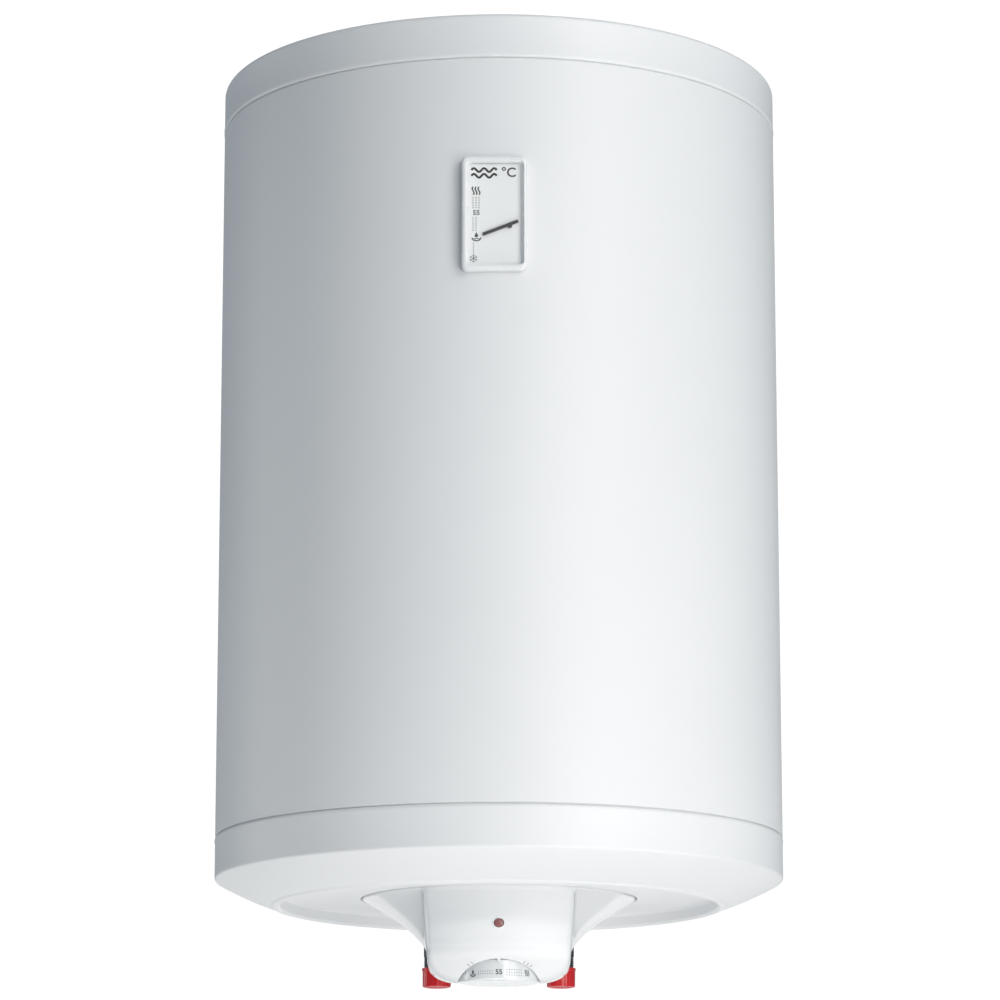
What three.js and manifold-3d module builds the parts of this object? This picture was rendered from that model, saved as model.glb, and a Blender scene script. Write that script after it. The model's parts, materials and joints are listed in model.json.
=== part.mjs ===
// Wall-hung electric tank water heater. Millimetres, +Z up, front towards -Y, wall on the +Y side.
// The origin is the centre of the wall bracket's back face.
import * as THREE from 'three';
import { mergeVertices } from 'three/addons/utils/BufferGeometryUtils.js';
import Module from 'manifold-3d';

// Casing. Heights are measured from the seam between the shell and the bottom cap.
const SHELL_R = 227;
const SHELL_H = 583;
const SHELL_WALL = 1;
const CAP_WALL = 2.2;
const GAP = 0.3;
const TOP_BAND = 36;
const TOP_EDGE_R = 4;
const TOP_CROWN = 5;
const BOTTOM_BAND = 33;
const COLLAR_R = 225.6;
const COLLAR_H = 6;
const BEAD_R = 178;
const BEAD_Z = -54.5;
const RECESS_R = 172;
const RECESS_Z = -43.5;
const LEDGE_R = 96;
const LEDGE_Z = -44.4;

// Control cover: a round rim, a concave flare and a tongue at the front that carries the knob.
const RIM_R = 109;
const RIM_LIP = 3.8;
const COVER_WALL = 2.5;
const COVER_TOP = LEDGE_Z - GAP;
const FLARE_BOTTOM = -97;
const TONGUE_HALF = 59;
const TONGUE_BOTTOM = -121;
const TONGUE_CORNER_W = 25;
const TONGUE_CORNER_H = 16.5;
const FACET_TOP = -100.5;
const FACET_SLOPE = 0.7;
const LAMP_Z = -77.5;
const LAMP_R = 3.7;
const KNOB_Y = -68;
const KNOB_R = 31.2;
const KNOB_BOTTOM = -120.5;
const KNOB_TOP = -104.8;
const POCKET_R = 32.2;
const POCKET_Z = -103.5;
const SCREW_R = 101;
const SCREW_ANGLES = [50, 130];

// Thermometer window on the shell.
const WINDOW_X = -3.6;
const WINDOW_Z = 456.1;
const WINDOW_W = 50.2;
const WINDOW_H = 90.8;
const WINDOW_FRONT = -233.6;
const PIVOT_X = 8.6;
const PIVOT_Z = 446.2;
const POINTER_REST = 21.3;
const POINTER_LONG = 22.2;
const POINTER_SHORT = 7.4;
const POINTER_LOW = 0.1; // the blade runs just above its pivot
const POINTER_HIGH = 2.6;

// Tank, insulation and flange.
const TANK_R = 190;
const TANK_WALL = 2;
const TANK_BOTTOM = 8;
const TANK_TOP = 588;
const DOME = 62;
const FOAM_GAP = 0.5;
const FLANGE_Y = -30;
const FLANGE_R = 55;
const FLANGE_BORE = 41;
const FLANGE_Z = -6;
const BOLT_CIRCLE = 48.5;
const BOLTS = 5;

// Water connections, 100 mm apart.
const PIPE_X = 50;
const PIPE_Y = 38;
const PIPE_R = 10.45;
const PIPE_BORE = 7.8;
const PIPE_TOP = 34;
const PIPE_END = -112.5;
const PLUG_TOP = -98.5;
const PLUG_END = -114;

// Wall bracket. The part's origin is on its back face.
const BRACKET_W = 240;
const BRACKET_H = 50;
const BRACKET_T = 3;
const BRACKET_Y = 234;
const BRACKET_Z = 493;
const LEG_X = 60;
const SLOT_X = 98;
const SLOT_W = 12;
const SLOT_H = 26;

const BIG = 48; // facets of the large round pieces
const INSIDE = 32;
const MID = 24;
const FINE = 16;
const SMALL = 10;

const wasm = await Module();
wasm.setup();

function manifoldOf(position, triVerts) {
  return new wasm.Manifold(new wasm.Mesh({ numProp: 3, vertProperties: position, triVerts }));
}

// A three.js geometry as a solid with its faces pointing out.
function solid(geometry) {
  const plain = geometry.index ? geometry.toNonIndexed() : geometry.clone();
  plain.deleteAttribute('normal');
  plain.deleteAttribute('uv');
  const merged = mergeVertices(plain, 1e-4);
  const index = merged.index.array;
  const kept = [];
  for (let i = 0; i < index.length; i += 3) {
    const [a, b, c] = [index[i], index[i + 1], index[i + 2]];
    if (a !== b && b !== c && c !== a) kept.push(a, b, c);
  }
  const made = manifoldOf(merged.attributes.position.array, new Uint32Array(kept));
  if (made.volume() > 0) return made;
  return manifoldOf(merged.attributes.position.array, new Uint32Array(kept.reverse()));
}

const join = (first, ...rest) => rest.reduce((body, other) => body.add(other), first);
const cut = (first, ...rest) => rest.reduce((body, other) => body.subtract(other), first);

// A profile of [radius, height] pairs turned about the vertical line through x, y.
function turned(profile, facets, x = 0, y = 0) {
  const points = profile.map(([r, z]) => new THREE.Vector2(r, z));
  return solid(new THREE.LatheGeometry(points, facets).rotateX(Math.PI / 2).translate(x, y, 0));
}

// The same for a profile that has to close on itself.
function ring(profile, facets, x = 0, y = 0) {
  return turned([...profile, profile[0]], facets, x, y);
}

function rod(radius, z0, z1, x = 0, y = 0, facets = FINE) {
  const geometry = new THREE.CylinderGeometry(radius, radius, z1 - z0, facets);
  return solid(geometry.rotateX(Math.PI / 2).translate(x, y, (z0 + z1) / 2));
}

function rodAlongY(radius, y0, y1, x, z, facets = FINE) {
  const geometry = new THREE.CylinderGeometry(radius, radius, y1 - y0, facets);
  return solid(geometry.translate(x, (y0 + y1) / 2, z));
}

function box(x0, x1, y0, y1, z0, z1) {
  const geometry = new THREE.BoxGeometry(x1 - x0, y1 - y0, z1 - z0);
  return solid(geometry.translate((x0 + x1) / 2, (y0 + y1) / 2, (z0 + z1) / 2));
}

// A box whose edges along Y are rounded.
function roundedSlab(width, height, corner, y0, y1, x, z) {
  const [w, h] = [width / 2, height / 2];
  const shape = new THREE.Shape();
  shape.moveTo(w - corner, -h);
  shape.absarc(w - corner, corner - h, corner, -Math.PI / 2, 0, false);
  shape.absarc(w - corner, h - corner, corner, 0, Math.PI / 2, false);
  shape.absarc(corner - w, h - corner, corner, Math.PI / 2, Math.PI, false);
  shape.absarc(corner - w, corner - h, corner, Math.PI, 1.5 * Math.PI, false);
  const options = { depth: y1 - y0, bevelEnabled: false, curveSegments: 4 };
  return solid(new THREE.ExtrudeGeometry(shape, options).rotateX(Math.PI / 2).translate(x, y1, z));
}

// A round bar along a smooth curve through points.
function wire(points, radius, steps, sides = 4, bend = 0.5) {
  const places = points.map((p) => new THREE.Vector3(...p));
  const path = new THREE.CatmullRomCurve3(places, false, 'catmullrom', bend);
  const disc = new THREE.Shape();
  disc.absarc(0, 0, radius, 0, 2 * Math.PI, false);
  const options = { steps, curveSegments: sides, extrudePath: path, bevelEnabled: false };
  return solid(new THREE.ExtrudeGeometry(disc, options));
}

const LOOKS = {
  shellWhite: { color: 0xeef0f2, roughness: 0.35, metalness: 0 },
  plasticWhite: { color: 0xf0f1f2, roughness: 0.3, metalness: 0 },
  clear: { color: 0xe4e8ea, roughness: 0.1, metalness: 0 },
  darkPlastic: { color: 0x2c2e30, roughness: 0.6, metalness: 0 },
  red: { color: 0xc42320, roughness: 0.35, metalness: 0 },
  lampRed: { color: 0xa26d6e, roughness: 0.3, metalness: 0 },
  steel: { color: 0x9a9ea2, roughness: 0.4, metalness: 1 },
  darkSteel: { color: 0x414446, roughness: 0.5, metalness: 0.8 },
  enamel: { color: 0x2d4257, roughness: 0.3, metalness: 0 },
  foam: { color: 0xe8dfb4, roughness: 0.95, metalness: 0 },
  rubber: { color: 0x26211e, roughness: 0.8, metalness: 0 },
  copper: { color: 0xb87150, roughness: 0.35, metalness: 1 },
  brass: { color: 0xc2a057, roughness: 0.35, metalness: 1 },
  magnesium: { color: 0xb7b9b8, roughness: 0.6, metalness: 1 },
  liveWire: { color: 0x6b4226, roughness: 0.5, metalness: 0 },
  neutralWire: { color: 0x2f5f9e, roughness: 0.5, metalness: 0 },
  earthWire: { color: 0x8a9a2e, roughness: 0.5, metalness: 0 },
};
const materials = {};
for (const [name, look] of Object.entries(LOOKS)) materials[name] = new THREE.MeshStandardMaterial(look);

// Everything is modelled about the heater's own axis, and the group carries it to the bracket's origin.
const heater = new THREE.Group();
heater.position.set(0, -BRACKET_Y, -BRACKET_Z);
const root = new THREE.Group();
root.add(heater);

function piece(name, body, look) {
  const mesh = body.getMesh();
  const geometry = new THREE.BufferGeometry();
  geometry.setAttribute('position', new THREE.BufferAttribute(mesh.vertProperties, 3));
  geometry.setIndex(new THREE.BufferAttribute(mesh.triVerts, 1));
  geometry.computeVertexNormals();
  const node = new THREE.Mesh(geometry, materials[look]);
  node.name = name;
  heater.add(node);
}

// Points of an arc in the profile plane, from one angle to another in degrees.
function arc(cr, cz, radius, from, to, steps) {
  const points = [];
  for (let i = 0; i <= steps; i += 1) {
    const angle = ((from + ((to - from) * i) / steps) * Math.PI) / 180;
    points.push([cr + radius * Math.cos(angle), cz + radius * Math.sin(angle)]);
  }
  return points;
}

// ---- Casing ----
const legSlots = [-LEG_X, LEG_X].map((x) =>
  box(x - 2, x + 2, 150, BRACKET_Y, BRACKET_Z - 20.5, BRACKET_Z + 20.5));
const shellTube = ring([
  [SHELL_R - SHELL_WALL, GAP / 2],
  [SHELL_R, GAP / 2],
  [SHELL_R, SHELL_H - GAP / 2],
  [SHELL_R - SHELL_WALL, SHELL_H - GAP / 2],
], BIG);
const spindleHole = rodAlongY(3, -240, -200, PIVOT_X, PIVOT_Z, SMALL);
piece('outer_shell', cut(shellTube, spindleHole, ...legSlots), 'shellWhite');

const topZ = SHELL_H + TOP_BAND;
const edgeCentre = [SHELL_R - TOP_EDGE_R, topZ - TOP_EDGE_R];
piece('top_cap', turned([
  [0, topZ + TOP_CROWN],
  [110, topZ + 0.75 * TOP_CROWN],
  ...arc(...edgeCentre, TOP_EDGE_R, 86, 0, 4),
  [SHELL_R, SHELL_H + GAP / 2],
  [COLLAR_R, SHELL_H + GAP / 2],
  [COLLAR_R, SHELL_H - COLLAR_H],
  [COLLAR_R - CAP_WALL, SHELL_H - COLLAR_H],
  ...arc(...edgeCentre, TOP_EDGE_R - CAP_WALL, 0, 86, 2),
  [110, topZ + 0.75 * TOP_CROWN - CAP_WALL],
  [0, topZ + TOP_CROWN - CAP_WALL],
], BIG), 'shellWhite');

// The underside falls in a shallow curve from the band's lower edge to a raised bead.
function underside(radius) {
  const t = (SHELL_R - radius) / (SHELL_R - BEAD_R - 5);
  return -BOTTOM_BAND - (-BEAD_Z - 2 - BOTTOM_BAND) * (1.25 * t - 0.25 * t * t);
}
const slope = [SHELL_R, 212, 197, 183].map((r) => [r, underside(r)]);
const glandHole = [0, 147];
const capBody = ring([
  [COLLAR_R, COLLAR_H],
  [COLLAR_R, -GAP / 2],
  [SHELL_R, -GAP / 2],
  ...slope,
  [180.5, BEAD_Z + 0.6],
  [BEAD_R, BEAD_Z],
  [175.5, BEAD_Z + 1.2],
  [RECESS_R + 1, RECESS_Z - 2.5],
  [RECESS_R - 1, RECESS_Z],
  [132, RECESS_Z],
  [113, RECESS_Z - 3.9],
  [RIM_R + 1.2, RECESS_Z - 4.1],
  [RIM_R + 1.2, LEDGE_Z],
  [LEDGE_R, LEDGE_Z],
  [LEDGE_R, LEDGE_Z + CAP_WALL],
  [RECESS_R - 1, RECESS_Z + CAP_WALL],
  [RECESS_R + 2, RECESS_Z],
  [BEAD_R, BEAD_Z + CAP_WALL + 1],
  [183, underside(183) + CAP_WALL],
  [205, underside(205) + CAP_WALL],
  [COLLAR_R - CAP_WALL, underside(SHELL_R) + CAP_WALL],
  [COLLAR_R - CAP_WALL, COLLAR_H],
], BIG);
const screwPlaces = SCREW_ANGLES.map((deg) => {
  const a = (deg * Math.PI) / 180;
  return [SCREW_R * Math.cos(a), SCREW_R * Math.sin(a)];
});
const bosses = screwPlaces.map(([x, y]) => rod(4.6, LEDGE_Z + 0.4, -30, x, y, SMALL));
const bossHoles = screwPlaces.map(([x, y]) => rod(2.3, -60, -31.5, x, y, SMALL));
const glandBore = rod(9.2, -60, -30, ...glandHole, FINE);
piece('bottom_cap', cut(join(capBody, ...bosses), ...bossHoles, glandBore), 'plasticWhite');

// ---- Control cover ----
// The concave flare between the rim and the lower end, as a radius for each height.
function flareRadius(z) {
  const t = (z - FLARE_BOTTOM) / (COVER_TOP - RIM_LIP - FLARE_BOTTOM);
  return 54 + (RIM_R - 54) * (0.25 * t + 0.75 * t * t);
}
const flareHeights = [0, 1, 2, 3, 4, 5].map(
  (i) => COVER_TOP - RIM_LIP + ((FLARE_BOTTOM - COVER_TOP + RIM_LIP) * i) / 5);

function flare(inset) {
  const top = inset ? COVER_TOP + 6 : COVER_TOP;
  const side = flareHeights.map((z) => [flareRadius(z) - inset, z + inset]);
  return turned([[0, top], [RIM_R - inset, top], ...side, [0, FLARE_BOTTOM + inset]], BIG);
}

// The tongue's front line at x = 0 and its half-width, both by height.
function tongueFront(z) {
  const bulge = 0.8 * Math.sin((Math.min(1, (COVER_TOP - z) / 52)) * Math.PI) ** 2;
  return Math.max(-RIM_R - bulge, -RIM_R + (FACET_TOP - z) / FACET_SLOPE);
}
function tongueHalf(z) {
  const side = TONGUE_HALF - 3.3 * Math.max(0, (-46 - z) / 60) ** 1.5;
  const drop = Math.max(0, TONGUE_BOTTOM + TONGUE_CORNER_H - z) / TONGUE_CORNER_H;
  return side - TONGUE_CORNER_W * (1 - Math.sqrt(Math.max(0, 1 - drop * drop)));
}

// An upright bar with an arched front, drawn in line by line to the tongue's front and sides.
function tongue(inset) {
  const top = inset ? COVER_TOP + 5 : COVER_TOP;
  const reach = Math.asin(TONGUE_HALF / RIM_R);
  const shape = new THREE.Shape();
  shape.absarc(0, 0, RIM_R, 1.5 * Math.PI - reach, 1.5 * Math.PI + reach, false);
  shape.lineTo(TONGUE_HALF, 0);
  shape.lineTo(-TONGUE_HALF, 0);
  shape.closePath();
  const bar = new THREE.ExtrudeGeometry(shape, {
    depth: 1, steps: 10, curveSegments: 6, bevelEnabled: false,
  });
  const place = bar.attributes.position;
  for (let i = 0; i < place.count; i += 1) {
    const down = Math.sin(((1 - place.getZ(i)) * Math.PI) / 2);
    const z = top + (TONGUE_BOTTOM + inset - top) * down;
    const line = Math.min(z - inset, COVER_TOP);
    const half = tongueHalf(line) - inset;
    const behind = Math.min(1, -place.getY(i) / 60);
    const y = place.getY(i) + behind * (RIM_R + tongueFront(line) + inset);
    place.setXYZ(i, (place.getX(i) * half) / TONGUE_HALF, y, z);
  }
  return solid(bar);
}

// The wedge below the tongue's underside, which rises towards the rear.
function wedge(inset) {
  const shape = new THREE.Shape();
  shape.moveTo(-62, TONGUE_BOTTOM + inset);
  shape.lineTo(14, -91 + inset);
  shape.lineTo(14, -140);
  shape.lineTo(-150, -140);
  shape.lineTo(-150, TONGUE_BOTTOM + inset);
  const options = { depth: 2 * RIM_R, bevelEnabled: false };
  const bar = new THREE.ExtrudeGeometry(shape, options).rotateX(Math.PI / 2).rotateZ(Math.PI / 2);
  return solid(bar.translate(-RIM_R, 0, 0));
}

const outer = join(flare(0), cut(tongue(0), wedge(0)));
const inner = join(flare(COVER_WALL), cut(tongue(COVER_WALL), wedge(COVER_WALL)));
const pocketWall = rod(POCKET_R + COVER_WALL, -126, POCKET_Z + COVER_WALL, 0, KNOB_Y, MID).intersect(outer);
const pads = screwPlaces.map(([x, y]) => rod(7, -60, COVER_TOP, x, y, FINE).intersect(outer));
const cuts = [
  rod(POCKET_R, -130, POCKET_Z, 0, KNOB_Y, MID),
  rod(4.2, -110, -96, 0, KNOB_Y, SMALL),
  rodAlongY(LAMP_R + 0.3, -115, -104, 0, LAMP_Z, FINE),
  ...[-PIPE_X, PIPE_X].map((x) => rod(14, -130, -40, x, PIPE_Y, FINE)),
  ...screwPlaces.map(([x, y]) => rod(4.8, -70, COVER_TOP - 3, x, y, SMALL)),
  ...screwPlaces.map(([x, y]) => rod(2.3, -70, COVER_TOP + 3, x, y, SMALL)),
];
piece('control_cover', cut(join(cut(outer, inner), pocketWall, ...pads), ...cuts), 'plasticWhite');

screwPlaces.forEach(([x, y], i) => {
  const z = COVER_TOP - 3 - GAP;
  const body = turned([[0, z - 2.6], [3.4, z - 2.2], [4.2, z], [1.9, z], [1.9, -33], [0, -32]], SMALL, x, y);
  piece(`cover_screw_${i + 1}`, body, 'steel');
});

const lampFace = tongueFront(LAMP_Z) - 1.2;
const lampBack = tongueFront(LAMP_Z) + COVER_WALL;
const lampGeometry = new THREE.LatheGeometry([[0, 0], [2.4, 0.3], [LAMP_R, 1.4], [LAMP_R, 7], [0, 7]].map(
  ([r, y]) => new THREE.Vector2(r, y)), FINE);
piece('lamp_lens', solid(lampGeometry.translate(0, lampFace, LAMP_Z)), 'lampRed');
const holderOuter = rodAlongY(6.5, lampBack + 1, -89, 0, LAMP_Z);
const holderBore = rodAlongY(LAMP_R + 0.4, lampBack, -92, 0, LAMP_Z);
piece('lamp_holder', cut(holderOuter, holderBore), 'darkPlastic');

// ---- Knob, printed ring and shaft ----
piece('knob', turned([
  [0, KNOB_BOTTOM],
  [KNOB_R - 1.2, KNOB_BOTTOM],
  [KNOB_R, KNOB_BOTTOM + 1.2],
  [KNOB_R, KNOB_TOP],
  [KNOB_R - 2, KNOB_TOP],
  [KNOB_R - 2, KNOB_BOTTOM + 2.4],
  [7, KNOB_BOTTOM + 2.4],
  [7, KNOB_TOP],
  [3.4, KNOB_TOP],
  [3.4, KNOB_BOTTOM + 3.2],
  [0, KNOB_BOTTOM + 3.2],
], MID, 0, KNOB_Y), 'clear');
const bandOut = KNOB_R - 2.4;
piece('knob_scale_ring', ring([
  [bandOut, KNOB_BOTTOM + 2.8],
  [bandOut, KNOB_TOP + 0.5],
  [bandOut - 1.6, KNOB_TOP + 0.5],
  [bandOut - 1.6, KNOB_BOTTOM + 2.8],
], MID, 0, KNOB_Y), 'plasticWhite');
piece('knob_shaft', rod(3, KNOB_BOTTOM + 3.6, -88, 0, KNOB_Y, SMALL), 'steel');

// ---- Thermometer window ----
const drum = rod(SHELL_R + GAP, 380, 530, 0, 0, 120);
const opening = { w: WINDOW_W - 6.6, h: WINDOW_H - 8.9, x: WINDOW_X + 0.9, z: WINDOW_Z - 0.2 };
const frameBlock = roundedSlab(WINDOW_W, WINDOW_H, 5, WINDOW_FRONT, -222, WINDOW_X, WINDOW_Z);
const frameHole = roundedSlab(opening.w, opening.h, 2, -240, -220, opening.x, opening.z);
piece('indicator_frame', cut(frameBlock, drum, frameHole), 'plasticWhite');
const fit = 2 * GAP;
piece('indicator_lens', roundedSlab(opening.w - fit, opening.h - fit, 1.8,
  WINDOW_FRONT + 0.6, WINDOW_FRONT + 1.5, opening.x, opening.z), 'clear');
const dial = roundedSlab(opening.w - fit, opening.h - fit, 1.8, -229, -227.9, opening.x, opening.z);
const dialHole = rodAlongY(1.6, -240, -220, PIVOT_X, PIVOT_Z, SMALL);
piece('indicator_dial', cut(dial, dialHole), 'plasticWhite');

const needle = new THREE.Shape();
needle.moveTo(POINTER_SHORT, POINTER_HIGH);
needle.lineTo(-POINTER_LONG, POINTER_HIGH);
needle.lineTo(-POINTER_LONG, POINTER_LOW);
needle.lineTo(POINTER_SHORT, POINTER_LOW);
const blade = new THREE.ExtrudeGeometry(needle, { depth: 0.6, bevelEnabled: false });
blade.rotateX(Math.PI / 2).rotateY((-POINTER_REST * Math.PI) / 180);
const bladeBody = solid(blade.translate(PIVOT_X, -230.2, PIVOT_Z));
const hub = rodAlongY(1.7, -231.3, -230.2, PIVOT_X, PIVOT_Z, SMALL);
const hubBore = rodAlongY(0.95, -231, -229, PIVOT_X, PIVOT_Z, SMALL);
piece('pointer', cut(join(bladeBody, hub), hubBore), 'darkPlastic');
piece('pointer_spindle', rodAlongY(0.65, -230.7, -219, PIVOT_X, PIVOT_Z, 10), 'steel');
const canBody = rodAlongY(14, -222.5, -212, PIVOT_X, PIVOT_Z);
const canBore = rodAlongY(1, -223, -218, PIVOT_X, PIVOT_Z, 10);
piece('thermometer_body', cut(canBody, canBore), 'brass');
const tankSide = -TANK_R - 4.5;
piece('thermometer_sensor', join(
  wire([[PIVOT_X, -216, PIVOT_Z - 14.4], [PIVOT_X, -215, 424], [PIVOT_X, tankSide, 410],
    [PIVOT_X, tankSide, 396]], 1, 12),
  rod(2.8, 340, 397, PIVOT_X, tankSide, SMALL)), 'copper');

// ---- Tank ----
// Half an ellipse in the profile plane: the dome's outside, from the axis to the wall.
function dome(radius, depth, z, steps) {
  const points = [];
  for (let i = 0; i <= steps; i += 1) {
    const a = ((1 - i / steps) * Math.PI) / 2;
    points.push([i === 0 ? 0 : radius * Math.cos(a), z - depth * Math.sin(a)]);
  }
  return points;
}
const lowDome = TANK_BOTTOM + DOME;
const highDome = TANK_TOP - DOME;
const DOME_STEPS = 5;
const egg = (grow) => turned([
  ...dome(TANK_R + grow, DOME + grow, lowDome, DOME_STEPS),
  ...dome(TANK_R + grow, -DOME - grow, highDome, DOME_STEPS).reverse(),
], INSIDE);
const pipeHoles = [-PIPE_X, PIPE_X].map((x) => rod(PIPE_R + 0.6, -80, 60, x, PIPE_Y));
const flangeHole = rod(FLANGE_BORE, -40, 60, 0, FLANGE_Y, MID);
piece('inner_tank', cut(egg(0), egg(-TANK_WALL), flangeHole, ...pipeHoles), 'enamel');

const foamOuter = turned([
  [0, -3],
  [COLLAR_R - CAP_WALL - 0.7, -3],
  [COLLAR_R - CAP_WALL - 0.7, COLLAR_H + 1],
  [SHELL_R - SHELL_WALL - 0.8, COLLAR_H + 1],
  [SHELL_R - SHELL_WALL - 0.8, SHELL_H - COLLAR_H - 1],
  [COLLAR_R - CAP_WALL - 0.7, SHELL_H - COLLAR_H - 1],
  [COLLAR_R - CAP_WALL - 0.7, topZ - TOP_EDGE_R - 1],
  [SHELL_R - TOP_EDGE_R - 4, topZ - CAP_WALL - 1],
  [0, topZ - CAP_WALL],
], INSIDE);
piece('insulation_foam', cut(
  foamOuter,
  egg(FOAM_GAP),
  rod(78, -20, 50, 0, FLANGE_Y, MID),
  ...pipeHoles,
  ...legSlots,
  box(PIVOT_X - 16, PIVOT_X + 16, -230, -211, PIVOT_Z - 34, PIVOT_Z + 16),
  box(PIVOT_X - 4, PIVOT_X + 4, -224, -180, 336, PIVOT_Z - 10),
), 'foam');

// ---- Flange and what it carries ----
const domeSeat = egg(0.4);
const boltPlaces = Array.from({ length: BOLTS }, (_, i) => {
  const a = ((i * 360) / BOLTS + 90) * (Math.PI / 180);
  return [BOLT_CIRCLE * Math.cos(a), FLANGE_Y + BOLT_CIRCLE * Math.sin(a)];
});
const boltHoles = boltPlaces.map(([x, y]) => rod(2.9, -30, 2, x, y, SMALL));
const neck = ring([
  [FLANGE_BORE, FLANGE_Z], [FLANGE_R + 1, FLANGE_Z], [FLANGE_R + 1, 30], [FLANGE_BORE, 30],
], MID, 0, FLANGE_Y);
piece('tank_flange', cut(neck, domeSeat, ...boltHoles), 'darkSteel');
piece('flange_gasket', ring([
  [FLANGE_BORE, FLANGE_Z - 2.8],
  [44.6, FLANGE_Z - 2.8],
  [44.6, FLANGE_Z - 0.3],
  [FLANGE_BORE, FLANGE_Z - 0.3],
], MID, 0, FLANGE_Y), 'rubber');

const plateTop = FLANGE_Z - 3.1;
const plateZ = plateTop - 3;
const elementLegs = [[-20, -45], [20, -45]];
const pocketPlace = [0, -58];
const anodePlace = [0, -12];
piece('flange_plate', cut(
  rod(FLANGE_R, plateZ, plateTop, 0, FLANGE_Y, MID),
  ...boltHoles,
  ...elementLegs.map(([x, y]) => rod(4.7, -30, 2, x, y)),
  rod(6.5, -30, 2, ...pocketPlace),
  rod(4.4, -30, 2, ...anodePlace),
), 'steel');
boltPlaces.forEach(([x, y], i) => {
  const head = rod(5.2, plateZ - 5.3, plateZ - GAP, x, y, 6);
  piece(`flange_bolt_${i + 1}`, join(head, rod(2.5, plateZ - 1, 0.5, x, y, 10)), 'steel');
});

const elementTop = 250;
const elementPath = [
  [-20, -45, -26], [-20, -45, 90], [-20, -45, elementTop - 24],
  [0, -45, elementTop], [20, -45, elementTop - 24], [20, -45, 90], [20, -45, -26],
];
piece('heating_element', wire(elementPath, 4.2, 30, 4, 0.35), 'copper');
piece('thermostat_pocket', turned([
  [0, 222], [6, 220], [6, plateZ - GAP], [8, plateZ - GAP], [8, plateZ - 2], [5.2, plateZ - 2],
  [5.2, 218], [0, 219],
], FINE, ...pocketPlace), 'copper');
piece('anode_rod', turned([
  [0, 300], [11, 298], [11, plateTop + 4], [4, plateTop + 2], [4, plateZ - 9], [0, plateZ - 9],
], FINE, ...anodePlace), 'magnesium');
piece('anode_nut', cut(
  rod(7, plateZ - 6, plateZ - GAP, ...anodePlace, 6),
  rod(4.4, -40, 0, ...anodePlace, SMALL),
), 'steel');

// ---- Thermostat, cut-out and wiring ----
const BOARD = -60.5;
const boardPlate = box(-50, 50, -86, -36, BOARD - 1.5, BOARD);
const boardLeg = box(-9, 9, -37.5, -36, BOARD - 1.5, plateZ - GAP);
const boardFoot = box(-9, 9, -37.5, -30, plateZ - GAP - 1.5, plateZ - GAP);
const cutoutLine = [30, -52];
piece('control_bracket', cut(
  join(boardPlate, boardLeg, boardFoot),
  rod(6, -70, -50, ...pocketPlace, SMALL),
  rod(3, -70, -50, ...cutoutLine, SMALL),
), 'steel');

const under = BOARD - 1.9;
const thermostat = box(-17, 17, -86, -52, -97, under);
piece('thermostat_body', cut(thermostat, rod(3.4, -99, -86.5, 0, KNOB_Y, SMALL)), 'darkPlastic');
piece('thermostat_sensor', join(
  rod(0.9, under + GAP, 100, -2.5, -58, 8), rod(2, 100, 200, -2.5, -58, 10)), 'copper');
piece('cutout_sensor', join(
  wire([[...cutoutLine, under + GAP], [...cutoutLine, -52], [16, -55, -46], [2.5, -58, -36],
    [2.5, -58, -20], [2.5, -58, 100]], 0.9, 20, 3),
  rod(2, 99, 200, 2.5, -58, 10)), 'copper');
const buttonPlace = [36, -48];
const cutoutBox = box(23, 49, -62, -34, -86, under);
piece('safety_cutout', cut(cutoutBox, rod(3.8, -90, -78, ...buttonPlace, SMALL)), 'darkPlastic');
piece('reset_button', rod(3.3, -89, -80.5, ...buttonPlace, SMALL), 'red');
const blockBody = box(-48, -24, -66, -32, -79, under);
piece('terminal_block', cut(blockBody,
  ...[0, 1, 2].map((i) => rod(2.4, -90, -70, -36, -60 + 11 * i, 10))), 'darkPlastic');

const earthPlace = [-31, -14];
piece('earth_screw', rod(3.2, plateZ - 3.3, plateZ - GAP, ...earthPlace, 6), 'brass');
const livePath = [
  [36, -33.6, -74], [36, -28, -74], [36, -23, -64], [34, -22, -46],
  [24, -40, -40], [20, -45, -33], [20, -45, -26.5],
];
const neutralPath = [
  [-30, -31.6, -74], [-30, -26, -74], [-30, -22, -64], [-30, -24, -46],
  [-24, -40, -40], [-20, -45, -33], [-20, -45, -26.5],
];
const earthPath = [
  [-42, -31.6, -74], [-42, -26, -74], [-42, -20, -64], [-40, -12, -46],
  [...earthPlace, -26], [...earthPlace, plateZ - 3.7],
];
piece('wire_live', wire(livePath, 1.4, 14, 3), 'liveWire');
piece('wire_neutral', wire(neutralPath, 1.4, 14, 3), 'neutralWire');
piece('wire_earth', wire(earthPath, 1.4, 14, 3), 'earthWire');

// ---- Cable entry ----
piece('cable_gland', ring([
  [5, -30], [8.4, -30], [8.4, RECESS_Z - GAP], [12, RECESS_Z - GAP], [12, RECESS_Z - 5],
  [9.5, RECESS_Z - 7], [8.5, RECESS_Z - 15], [5, RECESS_Z - 15],
], FINE, ...glandHole), 'darkPlastic');
piece('gland_nut', cut(
  rod(12.5, RECESS_Z + CAP_WALL + GAP, RECESS_Z + CAP_WALL + 5, ...glandHole, 6),
  rod(8.9, -60, -20, ...glandHole),
), 'darkPlastic');

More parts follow.
